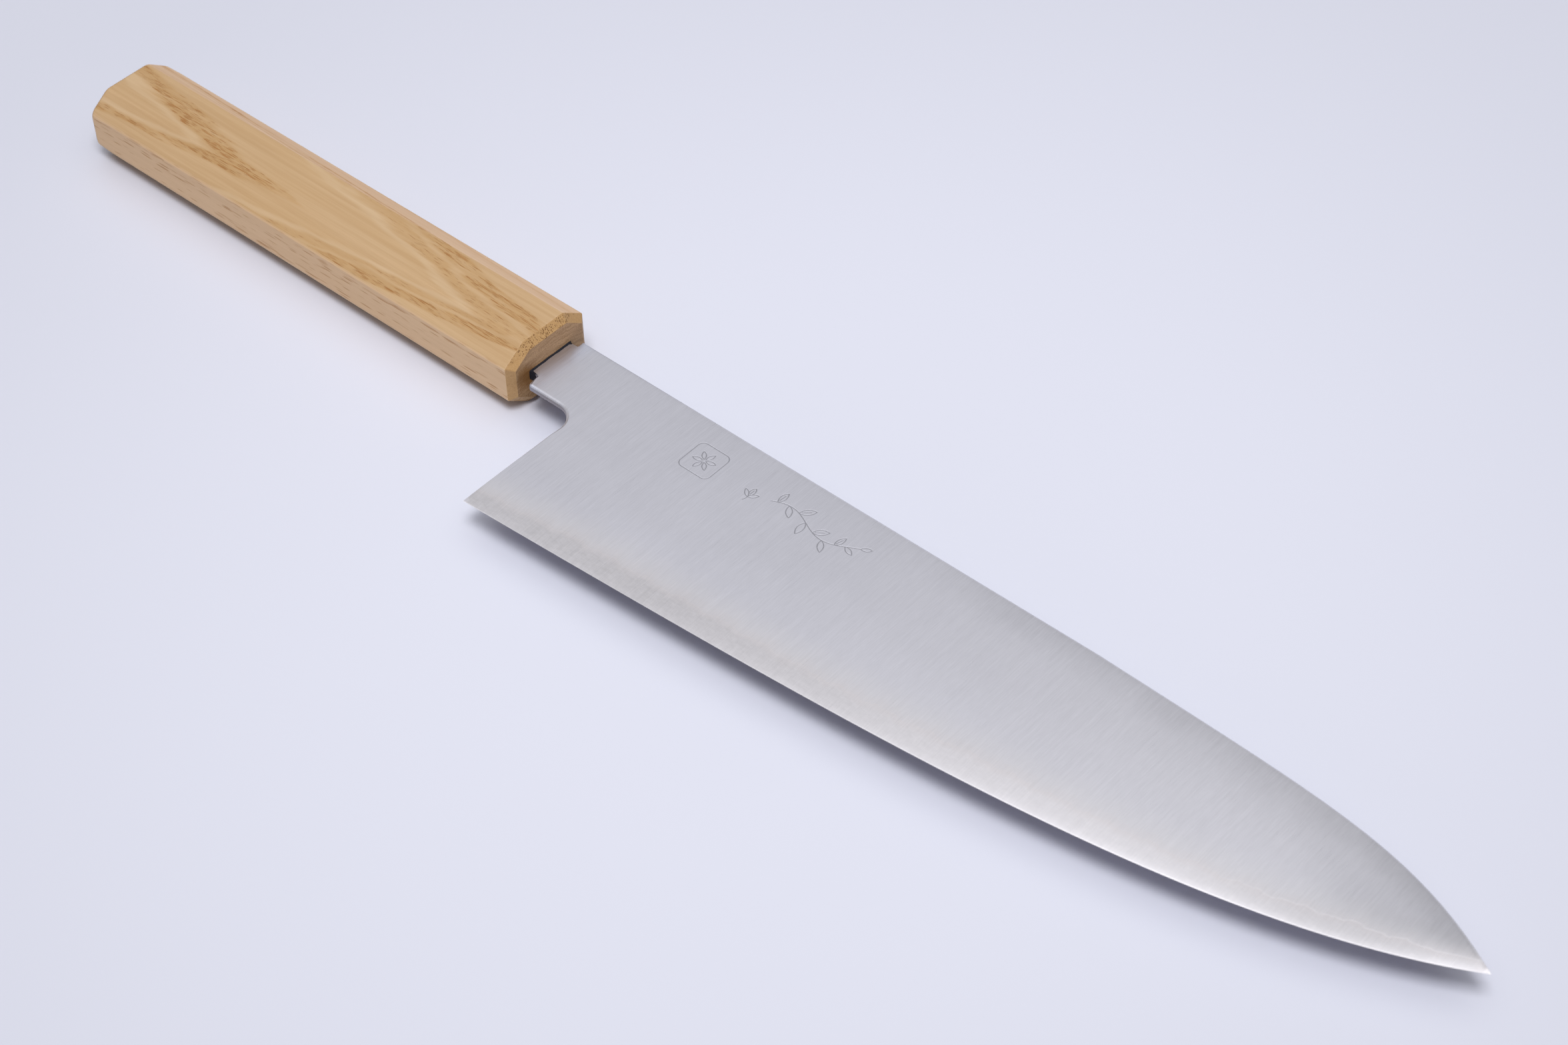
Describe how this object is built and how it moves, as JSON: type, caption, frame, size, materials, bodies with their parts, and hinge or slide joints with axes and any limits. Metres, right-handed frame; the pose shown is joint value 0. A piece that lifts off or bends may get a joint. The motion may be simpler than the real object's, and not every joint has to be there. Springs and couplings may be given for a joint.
{
  "type": "chef knife",
  "caption": "Tall, pointed kitchen knife with a curved edge and a hidden tang, set in a plain octagonal wooden handle; it lies on its side.",
  "frame": {"origin": "middle of the handle's lower flat facet, the one the handle rests on", "axes": "+X along the handle's axis towards the point, +Y from the cutting edge towards the spine, +Z out of the blade's right face; the knife lies on its left side"},
  "size_m": [0.3998, 0.057, 0.018],
  "materials": {
    "handle_wood": "pale golden ring-porous hardwood, sanded smooth and lightly oiled",
    "core_steel": "fine satin, scratches running from edge to spine, slightly warmer than the outer layers",
    "cladding_steel": "satin, fine scratches running from edge to spine",
    "bond_resin": "set resin, hidden in the handle",
    "seal_resin": "black resin, half gloss"
  },
  "bodies": {
    "root": {"handle": "handle_wood", "blade_core": "core_steel", "cladding_right": "cladding_steel", "cladding_left": "cladding_steel", "tang_bond": "bond_resin", "mouth_seal": "seal_resin"}
  },
  "joints": []
}
